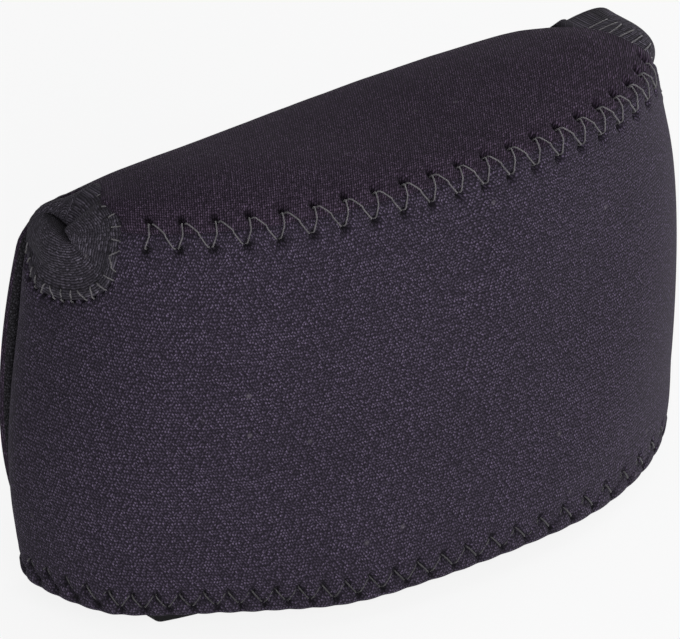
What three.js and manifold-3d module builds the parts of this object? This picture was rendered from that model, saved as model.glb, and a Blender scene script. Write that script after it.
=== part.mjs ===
// Neoprene camera case: a sewn pouch that opens at the back. The front panel wraps round the
// front and both sides, a base panel closes it below and a top panel rolls over to the back,
// where it goes on as a flap. The flap ends in a wide tab that folds under the base and holds
// there by hook and loop tape. A rolled collar in each top corner lets a strap through.
// Millimetres, X to the right, Y to the back, Z up, origin under the middle of the case.
import * as THREE from 'three';
import { mergeVertices } from 'three/addons/utils/BufferGeometryUtils.js';
import Module from 'manifold-3d';

const wasm = await Module();
wasm.setup();

// Sheets and clearances
const sheet = 3; // neoprene of the body and flap
const tabThick = 2; // thinner neoprene of the tab
const tapeThick = 0.7; // hook tape and loop tape
const tapeGap = 0.2; // between tape and cloth, and between the two tapes
const gap = 0.3; // between neighbouring panels
const collarGap = 0.5; // between a collar and the edges it is sewn to

// Body outline, seen from above: a rounded front with sides that draw in at the back
const baseHalfWidth = 58;
const midHalfWidth = 59;
const seamHalfWidth = 54;
const baseDepth = 36.1; // from the widest point forward, at the base
const midDepth = 36.3; // the same halfway up
const seamDepth = 34.5; // the same at the top seam
const backReach = 7.5; // from the widest point back to the open edge
const backCurve = 18.3; // how gently the sides draw in behind the widest point
const baseSquareness = 2.08; // 2 is an ellipse, more is squarer
const seamSquareness = 2.33;
const bodyHeight = 65.2; // underside of the base to the top seam
const seamDroop = 2; // the top seam falls by this towards its ends
const edgeRound = 1.1; // rounded edges of the base panel
const baseBackInset = 1.2; // base panel stops short of the open edge

// Top panel, from the seam over the crest to the fold at the back
const seamEndAngle = 12; // degrees, where the top seam ends at the collar
const topRise = 12.7; // length of the tangent that leaves the seam
const topSlope = 44.6; // degrees
const rollRise = 7.6; // length of the tangent that arrives at the fold
const rollDroop = 6.6; // the same tangent is shorter by this at the ends
const waist = 3; // the top panel's ends draw in by this to pass the collars
const foldDrop = 7.5; // fold of the flap below the top seam
const seamMitre = 0.35; // share of the top panel over which each edge turns level

// Flap and tab
const flapTopHalfWidth = 52.6;
const flapHalfWidth = 57.6;
const flapWidestHeight = 30;
const flapEndHalfWidth = 47.5;
const flapTurn = 6; // outer radius of the turn under the base
const tabHalfWidth = 47;
const tabLength = 20;
const tabCorner = 2.5;
const tapeWidth = 14;
const tapeHalfLength = 42;
const tapeMargin = 2; // from the tab's free edge

// Strap collars
const collarRing = 5.8; // middle of the rolled lip to the centre of the hole
const lipAcross = 2; // lip's half thickness across the hole
const lipAlong = 4.2; // lip's half thickness along the hole
const collarStretch = 1.04; // the hole is longer from front to back
const collarInset = 1.8; // centre of the hole inside the half width at the seam
const collarDrop = 8.3; // centre of the hole below the top seam
const collarYaw = -10; // degrees, the hole faces a little forward
const collarPitch = 21; // degrees, the hole faces upward

// Sewing thread
const threadRadius = 0.3;
const threadLift = 0.3; // thread's underside above the cloth
const topStitch = 5.2; // pitch along the top seam
const topStitchReach = 2.8; // needle holes to each side of the top seam
const baseStitch = 4.5;
const baseStitchReach = 1.7;
const collarStitch = 3.4;
const collarStitchReach = 1.8; // needle holes outside the collar
const collarSeamStart = 20; // degrees round the collar, from its top towards the back
const collarSeamEnd = -215; // degrees, down the front and under the collar
const lipHoleAngle = 62; // degrees, how far over the lip the thread reaches

// How finely the curved pieces are divided
const frontColumns = 44;
const frontRows = 8;
const topColumns = 28;
const topRows = 10;
const baseSteps = 48;
const collarSides = 28;
const lipSides = 12;
const bendSteps = 8;
const cornerSteps = 5;
const threadSides = 4;
const threadSteps = 4;
const lengthSamples = 400;
const searchSteps = 10;
const searchRounds = 5;
const smallStep = 1e-3;

// Places that follow from the sizes
const baseUnder = tabThick + 3 * tapeGap + 2 * tapeThick;
const seamHeight = baseUnder + bodyHeight;
const panelFoot = (sheet + gap) / bodyHeight;
const baseStitchRise = baseStitchReach / bodyHeight;
const threadProud = threadLift + 2 * threadRadius;
const frontReach = Math.max(
  parabolaPeak(baseDepth, midDepth, seamDepth),
  throughThree(baseDepth, midDepth, seamDepth, panelFoot - baseStitchRise) + threadProud,
);
const depth = frontReach + backReach + gap + sheet;
const widestY = frontReach - depth / 2;
const openY = widestY + backReach;
const flapInnerY = openY + gap;
const flapOuterY = flapInnerY + sheet;
const foldHeight = seamHeight - foldDrop;
const tabFoldY = flapOuterY - flapTurn;
const radians = THREE.MathUtils.degToRad;

const clothColour = 0x38323e;
const materials = {
  shell: new THREE.MeshStandardMaterial({ color: clothColour, roughness: 0.92, metalness: 0 }),
  top: new THREE.MeshStandardMaterial({ color: 0x302a34, roughness: 0.92, metalness: 0 }),
  tab: new THREE.MeshStandardMaterial({ color: 0x18161a, roughness: 0.7, metalness: 0 }),
  tape: new THREE.MeshStandardMaterial({ color: 0x141416, roughness: 0.8, metalness: 0 }),
  thread: new THREE.MeshStandardMaterial({ color: 0x77737c, roughness: 0.6, metalness: 0 }),
};

// Value that passes through low, mid and high as t goes 0, 1/2, 1
function throughThree(low, mid, high, t) {
  return low * (1 - t) * (1 - 2 * t) + mid * 4 * t * (1 - t) + high * t * (2 * t - 1);
}

// Largest value that throughThree takes when it peaks between 0 and 1
function parabolaPeak(low, mid, high) {
  const slope = 4 * mid - 3 * low - high;
  const bend = 2 * low - 4 * mid + 2 * high;
  return throughThree(low, mid, high, THREE.MathUtils.clamp(-slope / (2 * bend), 0, 1));
}

// Point of the body's outline at angle theta and height t, moved inward by inset:
// a superellipse whose front half is deeper than its back half
function outlinePoint(theta, t, inset = 0) {
  const halfWidth = throughThree(baseHalfWidth, midHalfWidth, seamHalfWidth, t) - inset;
  const front = throughThree(baseDepth, midDepth, seamDepth, t) - inset;
  const power = 2 / THREE.MathUtils.lerp(baseSquareness, seamSquareness, t);
  const across = Math.cos(theta);
  const along = Math.sin(theta);
  const reach = along > 0 ? -front : backCurve;
  const x = halfWidth * Math.sign(across) * Math.abs(across) ** power;
  const y = widestY + reach * Math.abs(along) ** power;
  return new THREE.Vector3(x, y, baseUnder + bodyHeight * t);
}

// Height of the top seam at angle theta, as a share of the body's height
function seamLevel(theta) {
  return 1 - (seamDroop / bodyHeight) * Math.cos(theta) ** 2;
}

// Angle past the widest point at which the outline has come back by reach
function backAngle(t, reach) {
  const squareness = THREE.MathUtils.lerp(baseSquareness, seamSquareness, t);
  return Math.asin((reach / backCurve) ** (squareness / 2));
}

// Front panel: its top edge follows the seam and falls to the collars at the sides
function frontSurface(u, v, inset = 0) {
  const past = backAngle(1, backReach);
  const end = radians(seamEndAngle);
  const turn = THREE.MathUtils.lerp(-past, Math.PI + past, u);
  const beyond = end - Math.min(turn, Math.PI - turn);
  const fall = THREE.MathUtils.smoothstep(beyond, 0, end + past) * collarDrop / bodyHeight;
  const t = THREE.MathUtils.lerp(panelFoot, seamLevel(turn) - fall, v);
  const here = backAngle(t, backReach);
  return outlinePoint(THREE.MathUtils.lerp(-here, Math.PI + here, u), t, inset);
}

// Angle along the outline for a place across the top panel, 0 on the right and 1 on the left
function seamAngle(u) {
  return THREE.MathUtils.lerp(radians(seamEndAngle), Math.PI - radians(seamEndAngle), u);
}

// Point of the top seam for a place across the top panel, moved inward by inset
function seamPoint(u, inset = 0) {
  const theta = seamAngle(u);
  return outlinePoint(theta, seamLevel(theta), inset);
}

// Top panel's outer face: each section is one cubic curve from the seam to the fold
function topFace(u, v) {
  const side = 1 - 2 * u;
  const seam = seamPoint(u);
  seam.z += gap;
  const leave = new THREE.Vector3(
    seam.x - side * waist,
    seam.y + topRise * Math.cos(radians(topSlope)),
    seam.z + topRise * Math.sin(radians(topSlope)),
  );
  const fold = new THREE.Vector3(side * flapTopHalfWidth, flapOuterY, foldHeight);
  const arrive = fold.clone();
  arrive.x -= side * waist;
  arrive.z += rollRise - rollDroop * side * side;
  return new THREE.CubicBezierCurve3(seam, leave, arrive, fold).getPoint(v);
}

// The inner face lies one sheet inside, and ends level at the seam and at the fold
// so that the edges butt
function topSurface(u, v, inset = 0) {
  const outer = topFace(u, v);
  if (inset === 0) {
    return outer;
  }
  const atSeam = seamPoint(u, inset).sub(seamPoint(u));
  const square = surfaceNormal(topFace, u, v).multiplyScalar(-inset);
  const atFold = new THREE.Vector3(0, -inset, 0);
  atSeam.lerp(square, THREE.MathUtils.smoothstep(v, 0, seamMitre));
  return outer.add(atSeam.lerp(atFold, THREE.MathUtils.smoothstep(v, 1 - seamMitre, 1)));
}

// Outward normal of a surface from its two directions
function surfaceNormal(surface, u, v) {
  const across = surface(u + smallStep, v).sub(surface(u - smallStep, v));
  const along = surface(u, v + smallStep).sub(surface(u, v - smallStep));
  return along.cross(across).normalize();
}

// Closed solid between two grids of points, the outer face and the inner face of a sheet
function sheetGeometry(surface, columns, rows) {
  const points = [];
  const index = [];
  const layer = (columns + 1) * (rows + 1);
  for (const inset of [0, sheet]) {
    for (let j = 0; j <= rows; j += 1) {
      for (let i = 0; i <= columns; i += 1) {
        points.push(surface(i / columns, j / rows, inset));
      }
    }
  }
  const at = (i, j, k) => k * layer + j * (columns + 1) + i;
  const quad = (a, b, c, d) => index.push(a, b, c, a, c, d);
  for (let j = 0; j < rows; j += 1) {
    for (let i = 0; i < columns; i += 1) {
      quad(at(i, j, 0), at(i, j + 1, 0), at(i + 1, j + 1, 0), at(i + 1, j, 0));
      quad(at(i, j, 1), at(i + 1, j, 1), at(i + 1, j + 1, 1), at(i, j + 1, 1));
    }
  }
  for (let i = 0; i < columns; i += 1) {
    quad(at(i, 0, 0), at(i + 1, 0, 0), at(i + 1, 0, 1), at(i, 0, 1));
    quad(at(i, rows, 0), at(i, rows, 1), at(i + 1, rows, 1), at(i + 1, rows, 0));
  }
  for (let j = 0; j < rows; j += 1) {
    quad(at(0, j, 0), at(0, j, 1), at(0, j + 1, 1), at(0, j + 1, 0));
    quad(at(columns, j, 0), at(columns, j + 1, 0), at(columns, j + 1, 1), at(columns, j, 1));
  }
  return new THREE.BufferGeometry().setFromPoints(points).setIndex(index);
}

function toSolid(geometry) {
  const bare = geometry.clone();
  bare.deleteAttribute('normal');
  bare.deleteAttribute('uv');
  const merged = mergeVertices(bare);
  return new wasm.Manifold(new wasm.Mesh({
    numProp: 3,
    vertProperties: new Float32Array(merged.attributes.position.array),
    triVerts: new Uint32Array(merged.index.array),
  }));
}

function toGeometry(solid) {
  const mesh = solid.getMesh();
  const geometry = new THREE.BufferGeometry();
  geometry.setAttribute('position', new THREE.BufferAttribute(mesh.vertProperties, 3));
  geometry.setIndex(new THREE.BufferAttribute(mesh.triVerts, 1));
  geometry.computeVertexNormals();
  return geometry;
}

function piece(name, geometry, material) {
  const mesh = new THREE.Mesh(geometry, material.clone());
  mesh.name = name;
  return mesh;
}

// Frame of a collar: its own Y runs out through the hole, its own Z runs along the body's Y.
// sign is -1 on the left and 1 on the right.
function collarFrame(sign) {
  const out = new THREE.Vector3(
    sign * Math.cos(radians(collarPitch)) * Math.cos(radians(collarYaw)),
    Math.cos(radians(collarPitch)) * Math.sin(radians(collarYaw)),
    Math.sin(radians(collarPitch)),
  );
  const forward = new THREE.Vector3(0, 1, 0);
  const up = new THREE.Vector3().crossVectors(out, forward).normalize();
  forward.crossVectors(up, out);
  const centre = new THREE.Vector3(
    sign * (seamHalfWidth - collarInset),
    openY - (collarRing + lipAcross) * collarStretch,
    seamHeight - collarDrop,
  );
  return new THREE.Matrix4().makeBasis(up, out, forward).setPosition(centre);
}

// Rolled lip: an upright ellipse turned round the hole, then drawn out from front to back
function collarGeometry(sign) {
  const section = new THREE.EllipseCurve(collarRing, 0, lipAcross, lipAlong, 0, 2 * Math.PI, false);
  const profile = section.getPoints(lipSides);
  const geometry = new THREE.LatheGeometry(profile, collarSides);
  geometry.scale(1, 1, collarStretch);
  geometry.applyMatrix4(collarFrame(sign));
  return geometry;
}

// Hole that a collar is sewn into, with the gap all round
function collarHole(sign) {
  const radius = collarRing + lipAcross + collarGap;
  const length = 4 * collarRing;
  const geometry = new THREE.CylinderGeometry(radius, radius, length, collarSides);
  geometry.scale(1, 1, collarStretch);
  geometry.applyMatrix4(collarFrame(sign));
  return toSolid(geometry);
}

function withoutCollarHoles(geometry) {
  return toGeometry(toSolid(geometry).subtract(collarHole(-1)).subtract(collarHole(1)));
}

function basePanelGeometry() {
  const past = backAngle(0, backReach - baseBackInset);
  const points = [];
  for (let i = 0; i <= baseSteps; i += 1) {
    const corner = outlinePoint(THREE.MathUtils.lerp(-past, Math.PI + past, i / baseSteps), 0);
    points.push(new THREE.Vector2(corner.x, corner.y));
  }
  const geometry = new THREE.ExtrudeGeometry(new THREE.Shape(points), {
    depth: sheet - 2 * edgeRound,
    bevelThickness: edgeRound,
    bevelSize: edgeRound,
    bevelOffset: -edgeRound,
    bevelSegments: 2,
  });
  return geometry.translate(0, 0, baseUnder + edgeRound);
}

// Flap: its section from the fold down the back and round under the base, cut to its outline
function flapGeometry() {
  const top = foldHeight - gap;
  const section = new THREE.Shape();
  section.moveTo(flapInnerY, top);
  section.lineTo(flapInnerY, flapTurn);
  section.absellipse(tabFoldY, flapTurn, flapTurn - sheet, flapTurn - tabThick, 0, -Math.PI / 2, true);
  section.lineTo(tabFoldY, 0);
  section.absarc(tabFoldY, flapTurn, flapTurn, -Math.PI / 2, 0, false);
  section.lineTo(flapOuterY, top);
  const strip = new THREE.ExtrudeGeometry(section, {
    depth: 2 * flapHalfWidth,
    bevelEnabled: false,
    curveSegments: bendSteps,
  });
  // Section's X becomes the body's Y, its Y becomes Z and its length runs along X
  const turn = new THREE.Matrix4().makeBasis(
    new THREE.Vector3(0, 1, 0),
    new THREE.Vector3(0, 0, 1),
    new THREE.Vector3(1, 0, 0),
  );
  strip.applyMatrix4(turn.setPosition(-flapHalfWidth, 0, 0));

  const half = (top - flapWidestHeight) / 2;
  const outline = new THREE.Shape();
  outline.moveTo(flapTopHalfWidth, foldHeight);
  outline.quadraticCurveTo(flapHalfWidth, flapWidestHeight + half, flapHalfWidth, flapWidestHeight);
  outline.quadraticCurveTo(flapHalfWidth, 2 * flapTurn, flapEndHalfWidth, -gap);
  outline.lineTo(-flapEndHalfWidth, -gap);
  outline.quadraticCurveTo(-flapHalfWidth, 2 * flapTurn, -flapHalfWidth, flapWidestHeight);
  outline.quadraticCurveTo(-flapHalfWidth, flapWidestHeight + half, -flapTopHalfWidth, foldHeight);
  const cutter = new THREE.ExtrudeGeometry(outline, {
    depth: depth,
    bevelEnabled: false,
    curveSegments: bendSteps,
  });
  cutter.rotateX(Math.PI / 2);
  cutter.translate(0, depth, 0);
  return toGeometry(toSolid(strip).intersect(toSolid(cutter)));
}

// Flat plate with rounded corners, from y = back forward by length
function plateGeometry(halfWidth, back, length, corner, thick, underside) {
  const front = back - length;
  const shape = new THREE.Shape();
  shape.moveTo(-halfWidth, back);
  shape.lineTo(-halfWidth, front + corner);
  shape.absarc(-halfWidth + corner, front + corner, corner, Math.PI, 1.5 * Math.PI, false);
  shape.absarc(halfWidth - corner, front + corner, corner, 1.5 * Math.PI, 2 * Math.PI, false);
  shape.lineTo(halfWidth, back);
  const geometry = new THREE.ExtrudeGeometry(shape, {
    depth: thick,
    bevelEnabled: false,
    curveSegments: cornerSteps,
  });
  return geometry.translate(0, 0, underside);
}

function tapeGeometry(underside) {
  const tabFront = tabFoldY - gap - tabLength;
  return plateGeometry(tapeHalfLength, tabFront + tapeMargin + tapeWidth, tapeWidth, tabCorner / 2,
    tapeThick, underside);
}

function liftedPoint(surface, u, v) {
  return surface(u, v).addScaledVector(surfaceNormal(surface, u, v), threadRadius + threadLift);
}

// Parameters from start to end that lie about one pitch apart along a curve, an even number of legs
function stitchParameters(curve, start, end, pitch) {
  const lengths = [0];
  for (let i = 1; i <= lengthSamples; i += 1) {
    const here = curve(THREE.MathUtils.lerp(start, end, i / lengthSamples));
    const before = curve(THREE.MathUtils.lerp(start, end, (i - 1) / lengthSamples));
    lengths.push(lengths[i - 1] + here.distanceTo(before));
  }
  const legs = 2 * Math.round(lengths[lengthSamples] / pitch);
  const places = [];
  for (let leg = 0, i = 0; leg <= legs; leg += 1) {
    const wanted = (lengths[lengthSamples] * leg) / legs;
    while (i < lengthSamples && lengths[i] < wanted) {
      i += 1;
    }
    places.push(THREE.MathUtils.lerp(start, end, i / lengthSamples));
  }
  return places;
}

// One unbroken thread through its needle holes and the points where it crosses the seam
function threadGeometry(points) {
  const route = new THREE.CatmullRomCurve3(points);
  const section = new THREE.Shape();
  section.absarc(0, 0, threadRadius, 0, 2 * Math.PI, false);
  return new THREE.ExtrudeGeometry(section, {
    steps: threadSteps * (points.length - 1),
    curveSegments: threadSides / 2,
    extrudePath: route,
  });
}

// Zigzag over the top seam: down into the front panel, up into the top panel
function topThreadGeometry() {
  const past = backAngle(1, backReach);
  const down = (1 - topStitchReach / bodyHeight - panelFoot) / (1 - panelFoot);
  const up = topStitchReach / (3 * topRise);
  const frontPlace = (u) => (seamAngle(u) + past) / (Math.PI + 2 * past);
  const margin = topStitch / (4 * seamHalfWidth);
  const points = [];
  stitchParameters(seamPoint, margin, 1 - margin, topStitch).forEach((u, leg, places) => {
    const low = liftedPoint(frontSurface, frontPlace(u), down);
    const high = liftedPoint(topSurface, u, up);
    if (leg > 0) {
      const between = (u + places[leg - 1]) / 2;
      const under = liftedPoint(frontSurface, frontPlace(between), 1);
      points.push(under.add(liftedPoint(topSurface, between, 0)).divideScalar(2));
    }
    points.push(leg % 2 ? low : high);
  });
  return threadGeometry(points);
}

// Zigzag over the base seam: up into the front panel, down into the rim of the base panel
function baseThreadGeometry() {
  const past = backAngle(0, backReach - baseBackInset);
  const rim = (theta) => outlinePoint(theta, 0);
  const lifted = (theta, t) => {
    const point = outlinePoint(theta, t);
    const ahead = outlinePoint(theta + smallStep, t).sub(point);
    const outward = new THREE.Vector3(0, 0, 1).cross(ahead).normalize();
    return point.addScaledVector(outward, threadRadius + threadLift);
  };
  const places = stitchParameters(rim, -past, Math.PI + past, baseStitch);
  return threadGeometry(places.map((theta, leg) => (
    lifted(theta, panelFoot + (leg % 2 ? baseStitchRise : -baseStitchRise))
  )));
}

// Place on a surface that is nearest to a line, found by closing in on it
function nearestPlace(surface, line) {
  const foot = new THREE.Vector3();
  let nearest = { u: 0.5, v: 0.5, distance: Infinity };
  let reach = 0.5;
  for (let round = 0; round < searchRounds; round += 1) {
    const { u: middleU, v: middleV } = nearest;
    for (let i = -searchSteps; i <= searchSteps; i += 1) {
      for (let j = -searchSteps; j <= searchSteps; j += 1) {
        const u = THREE.MathUtils.clamp(middleU + (reach * i) / searchSteps, 0, 1);
        const v = THREE.MathUtils.clamp(middleV + (reach * j) / searchSteps, 0, 1);
        const point = surface(u, v);
        const distance = line.closestPointToPoint(point, true, foot).distanceTo(point);
        if (distance < nearest.distance) {
          nearest = { u, v, distance };
        }
      }
    }
    reach *= 2 / searchSteps;
  }
  return nearest;
}

// Point just above whichever of the two sewn panels a line meets
function abovePanels(line) {
  const front = nearestPlace(frontSurface, line);
  const top = nearestPlace(topSurface, line);
  return front.distance < top.distance
    ? liftedPoint(frontSurface, front.u, front.v)
    : liftedPoint(topSurface, top.u, top.v);
}

// Zigzag round a collar: up onto its lip, across the edge and into the panels it is sewn to
function collarThreadGeometry(sign) {
  const frame = collarFrame(sign);
  const up = new THREE.Vector3();
  const out = new THREE.Vector3();
  const back = new THREE.Vector3();
  frame.extractBasis(up, out, back);
  const lift = threadRadius + threadLift;
  const slant = radians(lipHoleAngle);
  const at = (angle, radius) => new THREE.Vector3().setFromMatrixPosition(frame)
    .addScaledVector(up, sign * radius * Math.cos(angle))
    .addScaledVector(back, collarStretch * radius * Math.sin(angle));
  const onLip = (angle) => at(angle, collarRing + (lipAcross + lift) * Math.cos(slant))
    .addScaledVector(out, (lipAlong + lift) * Math.sin(slant));
  const edge = collarRing + lipAcross + collarGap;
  const onPanel = (angle, radius) => abovePanels(new THREE.Line3(
    at(angle, radius).addScaledVector(out, -lipAlong),
    at(angle, radius).addScaledVector(out, edge),
  ));
  const places = stitchParameters(onLip, radians(collarSeamStart), radians(collarSeamEnd), collarStitch);
  const points = [];
  places.forEach((angle, leg) => {
    if (leg > 0) {
      points.push(onPanel((angle + places[leg - 1]) / 2, edge));
    }
    points.push(leg % 2 ? onPanel(angle, edge + collarStitchReach) : onLip(angle));
  });
  return threadGeometry(points);
}

const frontGeometry = withoutCollarHoles(sheetGeometry(frontSurface, frontColumns, frontRows));
const topGeometry = withoutCollarHoles(sheetGeometry(topSurface, topColumns, topRows));
const tabGeometry = plateGeometry(tabHalfWidth, tabFoldY - gap, tabLength, tabCorner, tabThick, 0);

const group = new THREE.Group();
group.add(
  piece('front_panel', frontGeometry, materials.shell),
  piece('top_panel', topGeometry, materials.top),
  piece('base_panel', basePanelGeometry(), materials.shell),
  piece('back_flap', flapGeometry(), materials.top),
  piece('closure_tab', tabGeometry, materials.tab),
  piece('hook_tape', tapeGeometry(tabThick + tapeGap), materials.tape),
  piece('loop_tape', tapeGeometry(tabThick + tapeThick + 2 * tapeGap), materials.tape),
  piece('top_seam_thread', topThreadGeometry(), materials.thread),
  piece('base_seam_thread', baseThreadGeometry(), materials.thread),
);
for (const [name, sign] of [['left', -1], ['right', 1]]) {
  group.add(
    piece(`${name}_strap_collar`, collarGeometry(sign), materials.shell),
    piece(`${name}_collar_thread`, collarThreadGeometry(sign), materials.thread),
  );
}

export default group;
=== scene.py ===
import bpy
import numpy as np
from mathutils import Matrix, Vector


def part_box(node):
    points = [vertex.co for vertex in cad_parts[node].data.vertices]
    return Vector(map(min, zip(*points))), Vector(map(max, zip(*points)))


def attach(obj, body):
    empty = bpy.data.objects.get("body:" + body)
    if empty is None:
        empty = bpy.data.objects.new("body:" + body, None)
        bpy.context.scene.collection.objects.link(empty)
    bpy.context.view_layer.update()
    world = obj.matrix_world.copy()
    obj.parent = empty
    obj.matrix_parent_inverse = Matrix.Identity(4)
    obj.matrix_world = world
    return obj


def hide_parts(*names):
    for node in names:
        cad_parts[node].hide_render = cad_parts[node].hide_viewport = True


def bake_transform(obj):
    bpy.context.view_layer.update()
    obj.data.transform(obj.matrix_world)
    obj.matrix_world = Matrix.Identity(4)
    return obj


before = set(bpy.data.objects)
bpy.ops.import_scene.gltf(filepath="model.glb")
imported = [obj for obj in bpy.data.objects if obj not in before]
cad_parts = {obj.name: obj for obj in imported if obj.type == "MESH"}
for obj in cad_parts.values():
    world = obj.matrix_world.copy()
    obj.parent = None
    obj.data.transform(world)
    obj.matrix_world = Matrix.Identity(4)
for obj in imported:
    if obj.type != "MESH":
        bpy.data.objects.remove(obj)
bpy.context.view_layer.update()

mm = 0.001
print("frame loaded,", len(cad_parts), "nodes")

# Sizes of the sewn body in mm, as the solids have them
caseForm = {
    "sheet": 3.0, "gap": 0.3, "baseUnder": 4.0, "bodyHeight": 65.2, "seamDroop": 2.0, "seamTuck": 1.3,
    "halfWidth": (58.0, 59.0, 54.0), "front": (36.1, 36.3, 34.5), "squareness": (2.08, 2.33),
    "widestY": 13.128, "backReach": 7.5, "backCurve": 18.3, "seamEnd": (19.0, 26.0),
    "topRise": 12.7, "topSlope": 44.6, "rollRise": 7.6, "rollDroop": 6.6, "waist": 3.0,
    "foldHeight": 61.7, "flapOuterY": 23.928, "flapTurn": 6.0, "flapTop": 52.2, "flapWide": 57.0,
    "flapWideHeight": 30.0, "flapEnd": 47.5, "tabFoldY": 17.928, "foldTuck": 2.2,
}
c = caseForm
openY = c["widestY"] + c["backReach"]


def throughThree(three, t):  # parabola through three values at t = 0, 1/2, 1
    low, mid, high = three
    return low * (1 - t) * (1 - 2 * t) + mid * 4 * t * (1 - t) + high * t * (2 * t - 1)


def smooth(x, lo, hi):  # 3q^2 - 2q^3 of the share of the way from lo to hi
    q = np.clip((np.asarray(x, float) - lo) / (hi - lo), 0, 1)
    return q * q * (3 - 2 * q)


def unit(v):
    return v / np.maximum(np.linalg.norm(v, axis=-1, keepdims=True), 1e-9)


def bell(x, width):  # exp(-(x / width)^2)
    return np.exp(-(x / width) ** 2)


def wrapped(s, pitch, phase):  # distance to the nearest of a row of places one pitch apart
    return (s - phase + pitch / 2) % pitch - pitch / 2


def runLength(points):  # length along the last-but-one axis, from its first point
    step = np.linalg.norm(np.diff(points, axis=-2), axis=-1)
    return np.concatenate([np.zeros(step.shape[:-1] + (1,)), np.cumsum(step, axis=-1)], axis=-1)


def cosSteps(n):  # 0 to 1 with small steps at both ends: (1 - cos(pi k / n)) / 2
    return (1 - np.cos(np.pi * np.arange(n + 1) / n)) / 2


def endSteps(length, step, fine=(0, .1, .24, .42, .66, .95, 1.3)):  # even steps, finer at both ends
    fine = np.array(fine)
    inner = np.arange(fine[-1] + step, length - fine[-1] - step / 2, step)
    return np.concatenate([fine, inner, (length - fine)[::-1]]) / length


def gridNormals(p, inside):  # cross product of the grid's two directions, turned away from a point inside
    normal = unit(np.cross(np.gradient(p, axis=1), np.gradient(p, axis=0)))
    return normal * np.sign((normal * (p - inside)).sum(-1).mean())


allSides = ("first", "last", "left", "right")


def edgeDistance(p, sides):  # least distance to the named edges, along the grid lines
    across = runLength(p)
    along = runLength(p.swapaxes(0, 1)).T
    far = {"first": along, "last": along[-1:] - along, "left": across, "right": across[:, -1:] - across}
    return np.minimum.reduce([far[s] for s in sides])


def rimHalf(e, half, reach, power=2.6):  # half thickness that closes as a superellipse at the cut edge
    q = 1 - np.clip(e / reach, 0, 1)
    return half * (1 - q ** power) ** (1 / power)


def softRim(p, half, reach):  # half thickness that closes at all four edges, and its share of the full one
    closed = rimHalf(edgeDistance(p, allSides), half, reach)
    return closed, np.clip(closed / half, 0, 1)


def gridQuads(rows, columns):
    a = np.arange(rows * columns).reshape(rows, columns)
    return np.stack([a[:-1, :-1], a[:-1, 1:], a[1:, 1:], a[1:, :-1]], -1).reshape(-1, 4)


def addObject(name, data):
    added = bpy.data.objects.new(name, data)
    bpy.context.scene.collection.objects.link(added)
    return added


def makePiece(name, points, faces, uv, materials, faceSlots=None, masks=None, outward=None):
    # Rows of points in mm, in any grid; the quads are turned over if they face against outward
    used, faces = np.unique(faces, return_inverse=True)
    faces = faces.reshape(-1, 4)
    points, uv = points.reshape(-1, 3)[used], uv.reshape(-1, 2)[used]
    if outward is not None:
        corner = points[faces]
        facing = np.cross(corner[:, 2] - corner[:, 0], corner[:, 3] - corner[:, 1])
        against = (facing * outward.reshape(-1, 3)[used][faces].mean(1)).sum(-1) < 0
        if against.mean() > 0.5:
            faces = faces[:, ::-1]
    kept, single = np.unique(np.round(points, 4), axis=0, return_index=True, return_inverse=True)[1:]  # seams closed
    mesh = bpy.data.meshes.new(name)
    mesh.from_pydata((points[kept] * mm).tolist(), [], single.ravel()[faces].tolist())
    layer = mesh.uv_layers.new(name="cloth")
    layer.data.foreach_set("uv", (uv[faces.ravel()] * mm).astype(np.float32).ravel())
    for key, values in (masks or {}).items():
        values = values.ravel()[used][kept].astype(np.float32)
        mesh.attributes.new(key, "FLOAT", "POINT").data.foreach_set("value", values)
    for material in materials:
        mesh.materials.append(material)
    if faceSlots is not None:
        mesh.polygons.foreach_set("material_index", faceSlots.astype(np.int32))
    mesh.polygons.foreach_set("use_smooth", np.ones(len(faces), bool))
    mesh.validate()
    return addObject(name, mesh)


def cutSize(mid):  # greatest width and length of a sheet's middle face, and its area, in metres
    a, b = mid[1:, 1:] - mid[:-1, :-1], mid[1:, :-1] - mid[:-1, 1:]
    area = np.linalg.norm(np.cross(a, b), axis=-1).sum() / 2
    return runLength(mid)[:, -1].max() * mm, runLength(mid.swapaxes(0, 1))[:, -1].max() * mm, area * mm * mm


def rimRun(e, half, reach=1.0, power=2.6):
    # How much farther the cloth runs round a cut edge than the flat way to it: length of the rim's curve - distance
    q = np.linspace(0, reach, 200)
    run = runLength(np.stack([q, rimHalf(q, half, reach, power)], -1))
    return np.interp(e, q, run[-1] - run - reach + q)


def makeSheet(name, mid, normal, outer, inner, uv, materials, masks):
    # A sheet of cloth: outer face mid + normal * outer, inner face mid - normal * inner, closed at the rim
    rows, columns = mid.shape[:2]
    cutSize(mid)
    way = np.sign([uv[rows // 2, -1, 0] - uv[rows // 2, 0, 0], uv[-1, columns // 2, 1] - uv[0, columns // 2, 1]])
    first, last, left, right = (rimRun(edgeDistance(mid, (side,)), inner.max()) for side in allSides)
    uv = uv + way * np.stack([right - left, last - first], -1)
    index = np.arange(rows * columns).reshape(rows, columns)
    below = index + rows * columns
    below[0], below[-1], below[:, 0], below[:, -1] = index[0], index[-1], index[:, 0], index[:, -1]
    quads = gridQuads(rows, columns)
    faces = np.concatenate([quads, below.ravel()[quads][:, ::-1]])
    slots = np.repeat([0, min(1, len(materials) - 1)], len(quads))
    both = np.stack([mid + normal * outer[..., None], mid - normal * inner[..., None]])
    masks = {key: np.stack([mask, 0 * mask]) for key, mask in masks.items()}
    return makePiece(name, both, faces, np.stack([uv, uv]), materials, slots, masks, np.stack([normal, -normal]))


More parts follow.
